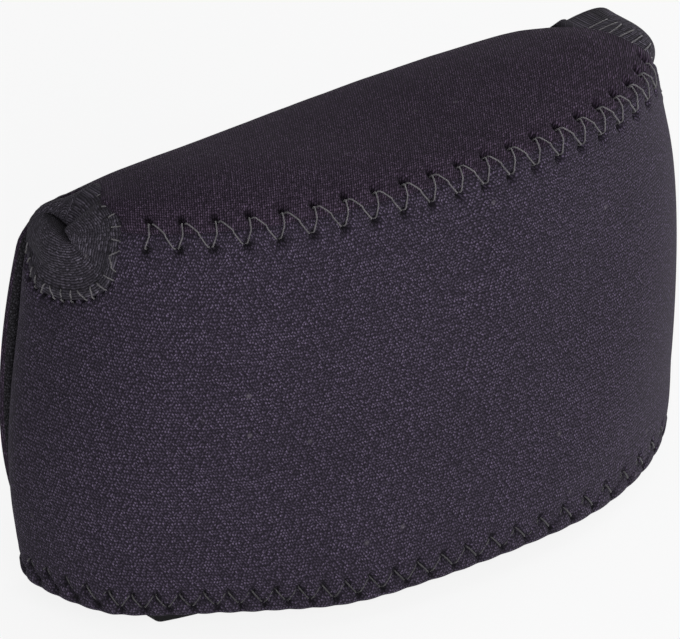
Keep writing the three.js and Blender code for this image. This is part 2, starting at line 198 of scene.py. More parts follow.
def makeTube(name, path, radius, sides, material):
    # Round thread carried along one path or several of equal length, closed by pulled-in ends
    path = path.reshape(-1, *path.shape[-2:])
    along = unit(np.gradient(path, axis=1))
    aside = unit(np.cross(along, np.array([0.31, 0.22, 0.92])))
    upward = np.cross(aside, along)
    turn = 2 * np.pi * np.arange(sides + 1) / sides
    size = np.full(path.shape[1], radius)
    size[0] = size[-1] = radius * 0.05
    ring = aside[:, :, None] * np.cos(turn)[:, None] + upward[:, :, None] * np.sin(turn)[:, None]
    points = path[:, :, None] + ring * size[:, None, None]
    strands, n = points.shape[:2]
    quads = gridQuads(n, sides + 1)
    faces = (quads[None] + (np.arange(strands) * n * (sides + 1))[:, None, None]).reshape(-1, 4)
    uv = np.stack(np.broadcast_arrays(turn / (2 * np.pi), runLength(path)[:, :, None]), -1)
    return makePiece(name, points, faces, uv, [material], outward=ring)


def feed(tree, node, sources):  # inputs by name or number: linked to another node's output, or set to a value
    for key, source in sources.items():
        if isinstance(source, bpy.types.NodeSocket):
            tree.links.new(source, node.inputs[key])
        else:
            node.inputs[key].default_value = source
    return node


def addNode(tree, kind, sources, **settings):
    node = tree.nodes.new("ShaderNode" + kind)
    for key, value in settings.items():
        setattr(node, key, value)
    return feed(tree, node, sources)


def sums(tree, operation, *terms):
    return addNode(tree, "Math", dict(enumerate(terms)), operation=operation).outputs[0]


def times(tree, a, b):
    return sums(tree, "MULTIPLY", a, b)


def ramp(tree, source, lo, hi, a=0.0, b=1.0):
    limits = {"Value": source, "From Min": lo, "From Max": hi, "To Min": a, "To Max": b}
    return addNode(tree, "MapRange", limits, interpolation_type="SMOOTHSTEP").outputs["Result"]


def dyed(tree, level, dye):  # colour of the dye x level
    return addNode(tree, "VectorMath", {0: dye, "Scale": level}, operation="SCALE").outputs[0]


def nodeGroup(name, inputs, outputs):  # a vector comes in first, all other sockets are numbers
    group = bpy.data.node_groups.new(name, "ShaderNodeTree")
    group.interface.new_socket("Vector", in_out="INPUT", socket_type="NodeSocketVector")
    for way, labels in (("INPUT", inputs), ("OUTPUT", outputs)):
        for label in labels:
            group.interface.new_socket(label, in_out=way, socket_type="NodeSocketFloat")
    return group, group.nodes.new("NodeGroupInput"), group.nodes.new("NodeGroupOutput")


loopSizes = ("Wale", "Course", "Lean", "Round", "Stray", "Stagger")


def knitGroup():
    # Knit loops: rows one course apart, every other row moved by Stagger of a wale;
    # a loop is a small dome, and each one has its own chance number
    tree, start, end = nodeGroup("knitLoops", loopSizes, ("Height", "Chance"))
    place, wale, course, lean, roundness, stray, stagger = start.outputs[:7]
    split = addNode(tree, "SeparateXYZ", {0: place})
    wobble = addNode(tree, "TexNoise", {"Scale": 260.0, "Detail": 1.0, "Vector": place})
    sway = times(tree, sums(tree, "SUBTRACT", wobble.outputs[0], 0.5), times(tree, stray, 0.75))
    y = sums(tree, "ADD", sums(tree, "DIVIDE", split.outputs[1], times(tree, course, mm)), sway)
    leaned = sums(tree, "MULTIPLY_ADD", split.outputs[1], lean, split.outputs[0])
    row = sums(tree, "FLOOR", y)
    half = times(tree, sums(tree, "MODULO", row, 2.0), stagger)
    x = sums(tree, "ADD", sums(tree, "DIVIDE", leaned, times(tree, wale, mm)), half)
    x = sums(tree, "ADD", x, sway)
    cell = addNode(tree, "CombineXYZ", {0: sums(tree, "FLOOR", x), 1: row})
    chance = addNode(tree, "TexWhiteNoise", {"Vector": cell.outputs[0]}, noise_dimensions="2D")
    parts = addNode(tree, "SeparateColor", {0: chance.outputs["Color"]}).outputs
    shifts = [times(tree, sums(tree, "SUBTRACT", part, 0.5), stray) for part in parts]
    fx, fy = (sums(tree, "SUBTRACT", sums(tree, "FRACT", q), sums(tree, "MULTIPLY_ADD", shift, 0.44, 0.5))
              for q, shift in zip((x, y), shifts))
    slant = sums(tree, "MULTIPLY_ADD", fy, times(tree, shifts[2], 1.2), fx)
    far = sums(tree, "ADD", times(tree, slant, slant), times(tree, times(tree, fy, fy), roundness))
    dome = sums(tree, "MAXIMUM", sums(tree, "SUBTRACT", 1.0, times(tree, far, 5.0)), 0.0)
    feed(tree, end, {"Height": dome, "Chance": chance.outputs["Value"]})
    return tree


def wearGroup():
    # Slow mottling of the dye, pale lint specks, and fuzz that roughens the pile
    tree, start, end = nodeGroup("clothWear", ("Lint",), ("Mottle", "Specks", "Fuzz"))
    place, amount = start.outputs[:2]
    slow = addNode(tree, "TexNoise", {"Scale": 42.0, "Detail": 3.0, "Roughness": 0.6, "Vector": place})
    fuzz = addNode(tree, "TexNoise", {"Scale": 2100.0, "Detail": 2.0, "Vector": place})
    lint = addNode(tree, "TexVoronoi", {"Scale": 330.0, "Vector": place})
    near = ramp(tree, lint.outputs["Distance"], 0.05, 0.2, 1.0, 0.0)
    pick = addNode(tree, "SeparateColor", {0: lint.outputs["Color"]})
    specks = times(tree, near, ramp(tree, pick.outputs[0], 0.9, 0.97))
    feed(tree, end, {"Mottle": slow.outputs[0], "Specks": times(tree, specks, amount), "Fuzz": fuzz.outputs[0]})
    return tree


knitLoops = knitGroup()
clothWear = wearGroup()


def newMaterial(name):
    material = bpy.data.materials.new(name)
    material.use_nodes = True
    return material, material.node_tree, material.node_tree.nodes["Principled BSDF"]


def clothMaterial(name, look):
    # Jersey over neoprene: colour = dye x loop tone (painted highlight on the loop tops, painted shade between them) x
    # mottling, darker in needle holes, grooves and slits as painted shade, paler at the rims from wear and a painted
    # sheen highlight
    material, tree, shader = newMaterial(name)
    uv = addNode(tree, "UVMap", {}, uv_map="cloth").outputs[0]
    place = addNode(tree, "TexCoord", {}).outputs["Object"]
    loops = {key: look[key] for key in loopSizes}
    height, chance = addNode(tree, "Group", {**loops, "Vector": uv}, node_tree=knitLoops).outputs
    mottle, specks, fuzz = addNode(tree, "Group", {"Lint": look["lint"], "Vector": place}, node_tree=clothWear).outputs
    # The first attribute darkens the colour in holes and hollows: painted shade; the second lightens edges and crests:
    # wear and a painted sheen highlight
    pitShade, rim = (addNode(tree, "Attribute", {}, attribute_name=mark).outputs["Fac"] for mark in ("pitShade", "rim"))
    # Loop tone follows the dome height: the loop tops lighter as painted highlight, the ground between them darker as
    # painted shade, each loop's brightness set by its chance number
    gain = sums(tree, "MULTIPLY_ADD", sums(tree, "POWER", chance, 2.0), look["chance"], look["loop"])
    loopLight = sums(tree, "MULTIPLY_ADD", ramp(tree, height, 0.0, 0.9), gain, look["valley"])
    loopLight = times(tree, loopLight, ramp(tree, fuzz, 0.3, 0.7, 0.7, 1.3))
    slow = ramp(tree, mottle, 0.3, 0.7, 1 - look["mottle"], 1 + look["mottle"])
    # Paler cut edges and crests: partly wear, partly a painted sheen highlight
    rimWearSheen = sums(tree, "MULTIPLY_ADD", rim, look["rimWearSheen"], 1.0)
    level = times(tree, times(tree, loopLight, slow), times(tree, ramp(tree, pitShade, 0.0, 1.0, 1.0, 0.22), rimWearSheen))
    flecked = addNode(tree, "Mix", {0: specks, 6: dyed(tree, level, look["dye"]), 7: (0.16, 0.145, 0.16, 1)},
                      data_type="RGBA")
    pile = sums(tree, "MULTIPLY_ADD", fuzz, 0.5, height)
    bump = addNode(tree, "Bump", {"Strength": look["bump"], "Distance": 0.00016, "Height": pile})
    feed(tree, shader, {
        "Base Color": flecked.outputs[2], "Normal": bump.outputs[0], "Specular IOR Level": look["gloss"],
        "Roughness": ramp(tree, fuzz, 0.25, 0.75, look["rough"] - 0.08, look["rough"] + 0.06),
        "Sheen Weight": look["sheen"], "Sheen Roughness": 0.45, "Sheen Tint": (0.82, 0.76, 0.9, 1),
    })
    return material


def threadMaterial(name, look):
    # Two-ply sewing thread: slanting plies along the tube, their grooves darker as painted shade, a little dust
    material, tree, shader = newMaterial(name)
    uv = addNode(tree, "UVMap", {}, uv_map="cloth").outputs[0]
    turn, along = addNode(tree, "SeparateXYZ", {0: uv}).outputs[:2]
    ply = sums(tree, "ADD", times(tree, turn, 2 / mm), times(tree, along, look["twist"] / mm))
    wave = sums(tree, "MULTIPLY_ADD", sums(tree, "SINE", times(tree, ply, 2 * np.pi)), 0.5, 0.5)
    place = addNode(tree, "TexCoord", {}).outputs["Object"]
    dust = addNode(tree, "TexNoise", {"Scale": 900.0, "Detail": 2.0, "Vector": place}).outputs[0]
    level = times(tree, ramp(tree, wave, 0.0, 1.0, 0.6, 1.1), ramp(tree, dust, 0.3, 0.7, 0.6, 1.25))
    bump = addNode(tree, "Bump", {"Strength": 0.6, "Distance": 0.00005, "Height": wave})
    feed(tree, shader, {"Base Color": dyed(tree, level, look["dye"]), "Normal": bump.outputs[0],
                        "Roughness": ramp(tree, dust, 0.2, 0.8, 0.45, 0.7), "Sheen Weight": 0.15})
    return material


jersey = {  # loop sizes in mm, then colour and surface
    "Wale": 0.47, "Course": 0.5, "Lean": 0.14, "Round": 0.8, "Stray": 1.2, "Stagger": 0.5,
    "dye": (0.034, 0.0265, 0.0425), "valley": 0.4, "loop": 0.7, "chance": 1.9, "mottle": 0.05, "rimWearSheen": 0.3,
    "lint": 0.35, "rough": 0.92, "bump": 0.8, "gloss": 0.1, "sheen": 0.04,
}
ribbed = {**jersey, "Lean": 0.0, "Stagger": 0.0}  # loops in straight lines
plain = {**jersey, "Lean": 0.0}
frontCloth = clothMaterial("jerseyFront", jersey)
# The roof's dye is set darker than the front's, as painted shade for its less lit slope
roofShadedCloth = clothMaterial("jerseyRoofShaded", {
    **ribbed, "Wale": 0.44, "Course": 0.5, "Round": 0.5, "Stray": 0.65, "dye": (0.031, 0.022, 0.035),
    "gloss": 0.04, "sheen": 0.02,
})
collarCloth = clothMaterial("jerseyCollar", {
    **ribbed, "Wale": 0.42, "Course": 0.6, "Round": 0.4, "Stray": 0.7, "dye": (0.031, 0.0275, 0.036),
})
liningCloth = clothMaterial("jerseyLining", {**plain, "dye": (0.016, 0.015, 0.018), "lint": 0.2})
tabCloth = clothMaterial("smoothTab", {
    **plain, "Wale": 0.5, "Course": 0.5, "dye": (0.004, 0.0038, 0.0045), "valley": 0.9, "loop": 0.1, "chance": 0.1,
    "rough": 0.62, "bump": 0.15, "gloss": 0.12, "sheen": 0.0,
})
tapeCloth = clothMaterial("wovenTape", {
    **plain, "Wale": 0.3, "Course": 0.3, "dye": (0.011, 0.011, 0.0125), "lint": 0.2,
})
greyThread = threadMaterial("greyThread", {"dye": (0.08, 0.073, 0.081), "twist": 1.7})
shadedThread = threadMaterial("shadedThread", {"dye": (0.022, 0.0195, 0.0225), "twist": 1.7})
print("materials made")


def squareness(t):  # 2 is an ellipse
    low, high = c["squareness"]
    return low + (high - low) * t


def outline(theta, t, inset=0.0):
    # Superellipse at height t: x = w cos^p, y = widest - front sin^p ahead and + backCurve |sin|^p behind
    theta, t = np.broadcast_arrays(np.asarray(theta, float), np.asarray(t, float))
    power = 2 / squareness(t)
    across, along = np.cos(theta), np.sin(theta)
    reach = np.where(along > 0, -(throughThree(c["front"], t) - inset), c["backCurve"])
    x = (throughThree(c["halfWidth"], t) - inset) * np.sign(across) * np.abs(across) ** power
    return np.stack([x, c["widestY"] + reach * np.abs(along) ** power, c["baseUnder"] + c["bodyHeight"] * t], -1)


def outlineAngle(y, t):  # angle on the right side at which the outline passes y
    power = squareness(t) / 2
    ahead = np.clip((c["widestY"] - y) / throughThree(c["front"], t), 0, 1) ** power
    behind = np.clip((y - c["widestY"]) / c["backCurve"], 0, 1) ** power
    return np.where(y < c["widestY"], np.arcsin(ahead), -np.arcsin(behind))


def seamLevel(theta):  # height share of the top seam, drawn down towards the collars
    across = np.cos(theta)
    return 1 - (c["seamDroop"] * across ** 2 + c["seamTuck"] * across ** 10) / c["bodyHeight"]


def seamAngle(u):  # outline angle of the top seam, from its right end (u = 0) to its left end
    left, right = np.radians(c["seamEnd"])
    return right + (np.pi - left - right) * u


crestForm = {"x": (-30, -19, -11, -3, 4.5, 10, 16, 24, 32, 40, 50), "droop": 1.3,
             "lift": (0, -0.4, -0.7, -0.8, -0.65, -0.3, 0, 0.55, 0.85, 1.0, 0.3)}


def roofLift(p, w):
    # Droop of the roof's ends towards the collars, and a crest line that isn't quite even, as on the photo
    x, z = p[..., 0], p[..., 2]
    crest = np.interp(x, crestForm["x"], crestForm["lift"])
    ends = smooth(np.abs(x), 36, 53) * smooth(z, 58, 66)
    lift = smooth(w, 0.12, 0.4) * (crest * smooth(w, 1.05, 0.75) - crestForm["droop"] * ends)
    return p + lift[..., None] * [0, 0, 1]


def topFace(u, v):
    # Cubic curve from the seam (v = 0) over the crest to the fold (v = 1); u runs 0 right to 1 left
    u, v = np.broadcast_arrays(np.asarray(u, float), np.asarray(v, float))
    theta = seamAngle(u)
    side = 1 - 2 * u
    seam = outline(theta, seamLevel(theta)) + [0, 0, c["gap"]]
    slope = np.radians(c["topSlope"])
    rise = c["topRise"]
    leave = seam + np.stack([-side * c["waist"], 0 * side + rise * np.cos(slope), 0 * side + rise * np.sin(slope)], -1)
    fold = np.stack([side * c["flapTop"], 0 * side + c["flapOuterY"], 0 * side + c["foldHeight"]], -1)
    arrive = fold + np.stack([-side * c["waist"], 0 * side, c["rollRise"] - c["rollDroop"] * side ** 2], -1)
    q = v[..., None]
    curve = (1 - q) ** 3 * seam + 3 * (1 - q) ** 2 * q * leave + 3 * (1 - q) * q * q * arrive + q ** 3 * fold
    return roofLift(curve, v)


# Frame of the right strap collar, the left one is its mirror; pairs of values are (left, right)
collarForm = {
    "ring": 5.8, "lip": 2.0, "stretch": 1.04, "inset": 1.8, "drop": 8.3, "yaw": -10.0, "pitch": 21.0,
    "ringUp": (9.0, 10.0), "ringDown": 8.2, "ringFront": (12.4, 16.0), "ringBack": 8.0, "ringBehind": 7.0,
    "square": (0.55, 0.45), "forward": (0.0, 0.16),
    "sewnFrom": -248.0, "sewnTo": -76.0, "stitch": 2.1, "stitchTop": -6.0,
}
k = collarForm
yaw, pitch = np.radians(k["yaw"]), np.radians(k["pitch"])
collarOut = np.array([np.cos(pitch) * np.cos(yaw), np.cos(pitch) * np.sin(yaw), np.sin(pitch)])
collarUp = unit(np.cross(collarOut, [0, 1, 0]))
collarBack = np.cross(collarUp, collarOut)
collarCentre = np.array([c["halfWidth"][2] - k["inset"], openY - (k["ring"] + k["lip"]) * k["stretch"],
                         c["baseUnder"] + c["bodyHeight"] - k["drop"]])


def ringPlace(angle, sign):
    # Ring in the collar's plane as (up, back): quarter ellipses, the upper front one squarer; 0 is the top,
    # positive turns to the back; the right ring (sign 1) reaches farther over the roof than the left one (-1)
    angle = np.asarray(angle, float)
    side = 1 if sign > 0 else 0
    upward, behind = np.cos(angle), np.sin(angle)
    power = np.where((upward > 0) & (behind < 0), k["square"][side], 1.0)
    top = k["ringUp"][side] + (k["ringBehind"] - k["ringUp"][side]) * smooth(behind, 0.0, 0.6)
    far = np.where(behind > 0, k["ringBack"], k["ringFront"][side]) * np.sign(behind) * np.abs(behind) ** power
    high = np.where(upward > 0, top, k["ringDown"]) * np.sign(upward) * np.abs(upward) ** power
    return np.stack([high + k["forward"][side] * np.maximum(-far, 0) * smooth(upward, 0.0, 0.6), far], -1)


def collarPoint(place, along):  # from (up, back) and the distance along the collar's axis
    out = np.asarray(along, float)[..., None] * collarOut
    return collarCentre + place[..., :1] * collarUp + place[..., 1:] * collarBack + out


def onWall(place):  # where a line along the collar's axis meets the side wall
    along = np.zeros(place.shape[:-1])
    start = point = collarPoint(place, along)
    for step in range(30):
        t = (point[..., 2] - c["baseUnder"]) / c["bodyHeight"]
        wall = outline(outlineAngle(point[..., 1], t), t)[..., 0]
        along = along + 0.8 * (wall - point[..., 0]) / collarOut[0]
        point = start + along[..., None] * collarOut
    return point, along


def roofNear(sign):  # points of the roof near one end, on the right collar's side
    share = np.linspace(0, 0.25, 120)[None]
    points = topFace(share if sign > 0 else 1 - share, np.linspace(0, 0.95, 100)[:, None]).reshape(-1, 3)
    return points * np.array([sign, 1, 1]) - collarCentre


roofEnds = {sign: roofNear(sign) for sign in (-1, 1)}


def panelHeight(place, turn, sign):
    # Height of the sewn panels along the collar's axis: the wall below and ahead, the roof above, none behind
    wall = np.clip(onWall(place)[1], -0.5, 4.6)
    roof = roofEnds[sign]
    flat = np.stack([roof @ collarUp, roof @ collarBack], -1)
    apart = ((flat[None] - place.reshape(-1, 1, 2)) ** 2).sum(-1).argmin(1).reshape(wall.shape)
    above = np.clip((roof @ collarOut)[apart] - 0.5, -3.8, 4.6)
    height = wall + (above - wall) * smooth(np.cos(turn), 0.2, 0.4)
    return height * (1 - 0.9 * smooth(np.cos(turn - np.radians(112)), 0.72, 0.95))


def ringTable(sign):
    # Height of the ring at even turns, smoothed round the ring, and its length from the first stitch
    turn = np.linspace(-np.pi, np.pi, 181)
    wall = panelHeight(ringPlace(turn, sign), turn, sign)
    wall = np.convolve(np.concatenate([wall[-9:-1], wall, wall[1:9]]), np.ones(17) / 17, "valid")
    sewn = np.linspace(np.radians(k["stitchTop"]), np.radians(k["sewnFrom"]), 900)
    return {"turn": turn, "wall": wall, "sewn": sewn, "run": runLength(ringPlace(sewn, sign))}


rings = {sign: ringTable(sign) for sign in (-1, 1)}


def ringAway(turn, sign):  # distance along the ring to the nearest stitch
    return wrapped(np.interp(-turn, -rings[sign]["sewn"], rings[sign]["run"]), k["stitch"], 0.0)


def panelEdge(sign):
    # Top edge of the front panel as (theta, t), one half from the back to the middle:
    # round the collar, up to the end of the seam, then along the seam
    turn = np.radians(np.linspace(k["sewnFrom"], k["sewnTo"], 80))
    ring = onWall(ringPlace(turn, sign))[0]
    t = (ring[:, 2] - c["baseUnder"]) / c["bodyHeight"]
    theta = outlineAngle(ring[:, 1], t)
    end = np.radians(c["seamEnd"][1 if sign > 0 else 0])
    q = np.linspace(0, 1, 14)[1:-1]
    bridgeTheta = theta[-1] + (end - theta[-1]) * q
    bridgeT = t[-1] + (seamLevel(end) - t[-1]) * q
    seam = np.linspace(end, np.pi / 2, 160)
    angle = np.concatenate([turn, np.full(len(q) + len(seam), turn[-1])])
    return np.concatenate([theta, bridgeTheta, seam]), np.concatenate([t, bridgeT, seamLevel(seam)]), angle


# Where the needle went through the two long seams
seamForm = {
    "topPitch": 5.13, "topPhase": 1.75, "topBelow": 2.7, "topAbove": 2.6, "topSkew": 0.22,
    "basePitch": (5.3, 5.2, 4.5, 3.65, 3.65), "baseTurn": (0, 80, 95, 125, 180), "basePhase": 0.35,
    "baseAbove": 4.5, "baseFoot": 1.5,
}
m = seamForm
seamTheta = seamAngle(np.linspace(1, 0, 2000))  # from the left end to the right end
seamRun = runLength(outline(seamTheta, seamLevel(seamTheta)))
seamMiddle = np.interp(-np.pi / 2, -seamTheta, seamRun)
backTheta = -float(outlineAngle(np.array(openY - 1.2), np.array(0.0)))
footTheta = np.linspace(np.pi + backTheta, -backTheta, 2000)
footRun = runLength(outline(footTheta, 0 * footTheta))
footPitch = np.interp(np.degrees(footTheta), m["baseTurn"], m["basePitch"])  # stitches grow longer to the right
footCount = np.concatenate([[0], np.cumsum(np.diff(footRun) * 2 / (footPitch[1:] + footPitch[:-1]))])
footCount = footCount - np.interp(-np.pi / 2, -footTheta, footCount) - m["basePhase"]


def panelBulge(t, sideways):  # the lower half is fuller than the seams, most of all at the sides
    return bell(t - 0.24, 0.3) * (0.35 + 0.65 * np.abs(sideways))


footForm = {
    "x": (-58, -56.5, -54, -52.8, -50.5, -47.9, -44.9, -41.6, -37.9, -34, -29.8,
          -25.3, -20.7, -15.8, -10.8, 0, 10.8, 20.7, 28, 40, 50, 58),
    "hang": (-0.7, 0.2, 0.7, 0.8, 0.4, 0.07, -0.22, -0.33, -0.15, 0.1, 0.55,
             1.0, 1.15, 1.0, 0.75, 0.6, 0.7, 1.15, 1.3, 1.0, 0.3, 0),
}
footReach = 9  # mm up the front that the hang fades over


def footHang(x):  # how far the lower edge of the front hangs below its seam line
    return np.interp(x, footForm["x"], footForm["hang"])


def needleMarks(away, edge, inset, form):  # holes, cloth drawn in from hole to edge, and the sewn-down valley
    (wide, high), (tugWide, tugHigh) = form["hole"], form["tug"]
    return {"hole": bell(away, wide) * bell(edge - inset, high), "valley": bell(edge, form["valley"]),
            "tug": bell(away, tugWide) * smooth(edge, inset + tugHigh, 0.0)}


def weighed(marks, weights):
    return sum(weight * marks[key] for key, weight in weights.items())


def frontPanel():
    # The marks of the needle have widths in mm across and along the seam, a depth in mm and a darkness painted into the
    # colour as shade
    form = {
        "rows": 96, "step": 0.47, "lean": 1.5, "rim": 1.0, "rimSheen": 0.4, "sag": 0.35, "wave": 0.06,
        "hole": (0.7, 0.8), "tug": (1.0, 2.2), "valley": 0.8, "ring": 1.4, "ringHole": (0.5, 0.6, 0.8),
        "groove": 0.36, "apex": (0.5, 1.0, 0.4), "notch": (0.6, 0.9),
        "depth": {"valley": 0.5, "hole": 1.3, "tug": 0.35, "ring": 0.4, "groove": 0.4, "apex": 0.56,
                  "inside": -0.15, "notch": 0.4},
        "paintedShade": {"hole": 1.3, "groove": 0.75, "apex": 0.8, "shade": 0.3, "valley": 0.3, "notch": 1.0},
    }
    left, right = panelEdge(-1), panelEdge(1)
    edgeTheta = np.concatenate([np.pi - left[0], right[0][::-1][1:]])  # left back, middle, right back
    edgeT, edgeAngle = (np.concatenate([left[i], right[i][::-1][1:]]) for i in (1, 2))
    run = runLength(outline(edgeTheta, edgeT, c["sheet"] / 2))
    column = endSteps(run[-1], form["step"])
    topTheta, topT, topAngle = (np.interp(column, run / run[-1], q) for q in (edgeTheta, edgeT, edgeAngle))
    back = -float(outlineAngle(np.array(openY), np.array(0.0)))
    foot = np.linspace(np.pi + back, -back, 3000)
    footLength = runLength(outline(foot, 0 * foot))
    lowTheta = np.interp(column, footLength / footLength[-1], foot)
    v = cosSteps(form["rows"])[:, None]
    gridT = topT * v
    gridTheta = lowTheta + (topTheta - lowTheta) * v ** form["lean"]
    mid = outline(gridTheta, gridT, c["sheet"] / 2)
    normal = gridNormals(mid, [0, 8, 36])
    half, fade = softRim(mid, c["sheet"] / 2, form["rim"])
    fromTop, fromFoot = edgeDistance(mid, ("last",)), edgeDistance(mid, ("first",))
    # needle holes and the sewn-down valley along the top seam
    s = np.interp(-gridTheta, -seamTheta, seamRun)
    sewn = ((topTheta < seamTheta[0]) & (topTheta > seamTheta[-1]))[None] * 1.0
    away = wrapped(s - seamMiddle, m["topPitch"], m["topPhase"])
    marks = {key: sewn * mark for key, mark in needleMarks(away, fromTop, m["topBelow"], form).items()}
    # the ring seam round each collar has its own row of holes
    marks["ring"] = (1 - sewn) * bell(fromTop, form["ring"])
    around = np.where(topTheta > np.pi / 2, ringAway(topAngle, -1), ringAway(topAngle, 1))[None]
    wide, high, below = form["ringHole"]
    marks["hole"] = marks["hole"] + (1 - sewn) * bell(around, wide) * bell(fromTop - below, high)
    # base zigzag: grooves along both legs, holes at the upper ends, an edge that puffs between the lower ones
    pitch = np.interp(-lowTheta, -footTheta, footPitch)[None]
    step = wrapped(np.interp(-lowTheta, -footTheta, footCount), 1.0, 0.0)[None] * pitch
    upper, lower = m["baseAbove"], m["baseFoot"]
    leg = np.abs(step) - pitch / 2 * (upper - fromFoot) / (upper - lower)
    low = smooth(fromFoot, upper + 0.8, upper - 0.4) * smooth(fromFoot, lower - 1.0, lower)
    marks["groove"] = low * bell(leg, form["groove"]) * (0.65 + 0.35 * np.sign(step))
    wide, high, below = form["apex"]
    marks["apex"] = bell(step, wide) * bell(fromFoot - upper + below, high)
    marks["inside"] = low * smooth(leg, 0.1, -0.5)
    marks["shade"] = marks["inside"] * smooth(fromFoot, 1.0, 3.0)
    wide, high = form["notch"]
    marks["notch"] = bell(np.abs(step) - pitch / 2, wide) * bell(fromFoot - lower, high)
    x, z = mid[..., 0], mid[..., 2]
    sag = form["sag"] * (np.sin(x / 13 + 0.6) * np.sin(z / 11) + 0.6 * np.sin(x / 7.3 - z / 9))
    relief = sag * smooth(fromTop, 3, 14) * smooth(fromFoot, 3, 12) + panelBulge(gridT, normal[..., 0])
    relief = relief - weighed(marks, form["depth"])
    # Painted shade: colour darkened in the needle holes, grooves, valleys and notches, and inside the zigzag near the
    # foot
    pitShade = np.clip(weighed(marks, form["paintedShade"]), 0, 1)
    uv = np.stack([np.interp(-gridTheta, -footTheta, footRun), gridT * c["bodyHeight"]], -1)
    hang = form["wave"] * np.cos(2 * np.pi * step / pitch) * bell(fromFoot, 1.6)
    hang = hang + footHang(x) * bell(fromFoot, footReach)
    mid = mid - hang[..., None] * [0, 0, 1]
    # Paler cut edges: wear and a painted sheen highlight
    return makeSheet("frontPanel", mid, normal, half + relief * fade, half, uv, [frontCloth, liningCloth],
                     {"pitShade": pitShade, "rim": (1 - fade) * form["rimSheen"]})


def ringShare(sign):
    # For 120 even v of the top panel: share of u at which its end meets the collar's ring
    v = np.linspace(0, 1, 120)
    share = np.linspace(0, 0.3, 400)
    p = topFace((share if sign > 0 else 1 - share)[None], v[:, None]) * np.array([sign, 1, 1]) - collarCentre
    place = np.stack([p @ collarUp, p @ collarBack], -1)
    ring = ringPlace(np.linspace(-np.pi, np.pi, 721), sign)
    turn, ringTurn = np.arctan2(place[..., 1], place[..., 0]), np.arctan2(ring[:, 1], ring[:, 0])
    inside = np.linalg.norm(place, axis=-1) < np.interp(turn, ringTurn, np.linalg.norm(ring, axis=-1))
    last = np.where(inside.any(1), share[inside.shape[1] - 1 - np.argmax(inside[:, ::-1], axis=1)], 0.0)
    kernel = np.array([1, 2, 3, 2, 1]) / 9
    return np.maximum(last, np.convolve(np.pad(last, 2, mode="edge"), kernel, "valid"))


def flapHalf(z):
    # Half width of the flap: two parabolas, widest at flapWideHeight, drawn in at the fold and at the tab
    q = np.linspace(0, 1, 200)
    curve = lambda a, b, d: np.outer((1 - q) ** 2, a) + np.outer(2 * q * (1 - q), b) + np.outer(q * q, d)
    wide, high, fold = c["flapWide"], c["flapWideHeight"], c["foldHeight"]
    upper = curve((c["flapTop"], fold), (wide, (fold + high) / 2), (wide, high))
    lower = curve((wide, high), (wide, 2 * c["flapTurn"]), (c["flapEnd"], -c["gap"]))
    both = np.concatenate([upper, lower[1:]])[::-1]
    return np.interp(z, both[:, 1], both[:, 0])


def roofShare(u, w):  # share of the top face's width, cut off at both ends by the collars' rings
    cutRight, cutLeft = (np.interp(w, np.linspace(0, 1, 120), ringShare(sign)) for sign in (1, -1))
    return cutRight + (1 - cutRight - cutLeft) * u


def roofFace(u, w):
    # Outer face of the one sheet that is roof and flap: w 0 to 1 over the crest, 1 to 2 down the back,
    # 2 to 3 round under the base; u 0 right to 1 left
    u, w = np.broadcast_arrays(np.asarray(u, float), np.asarray(w, float))
    v = np.clip(w, 0, 1)
    over = topFace(roofShare(u, v), v)
    over[..., 0] *= 1 - c["foldTuck"] / c["flapTop"] * smooth(v, 0.7, 1)
    turn = c["flapTurn"]
    z = c["foldHeight"] + (turn - c["foldHeight"]) * np.clip(w - 1, 0, 1)
    angle = np.clip(w - 2, 0, 1) * np.pi / 2
    z = np.where(w > 2, turn - turn * np.sin(angle), z)
    y = np.where(w > 2, c["tabFoldY"] + turn * np.cos(angle), c["flapOuterY"])
    reach = flapHalf(np.where(w > 2, turn * (1 - angle / (np.pi / 2)), z))
    reach = reach - c["foldTuck"] * smooth(z, 56.5, c["foldHeight"])
    behind = roofLift(np.stack([(1 - 2 * u) * reach, y, z], -1), w)
    return np.where((w <= 1)[..., None], over, behind)


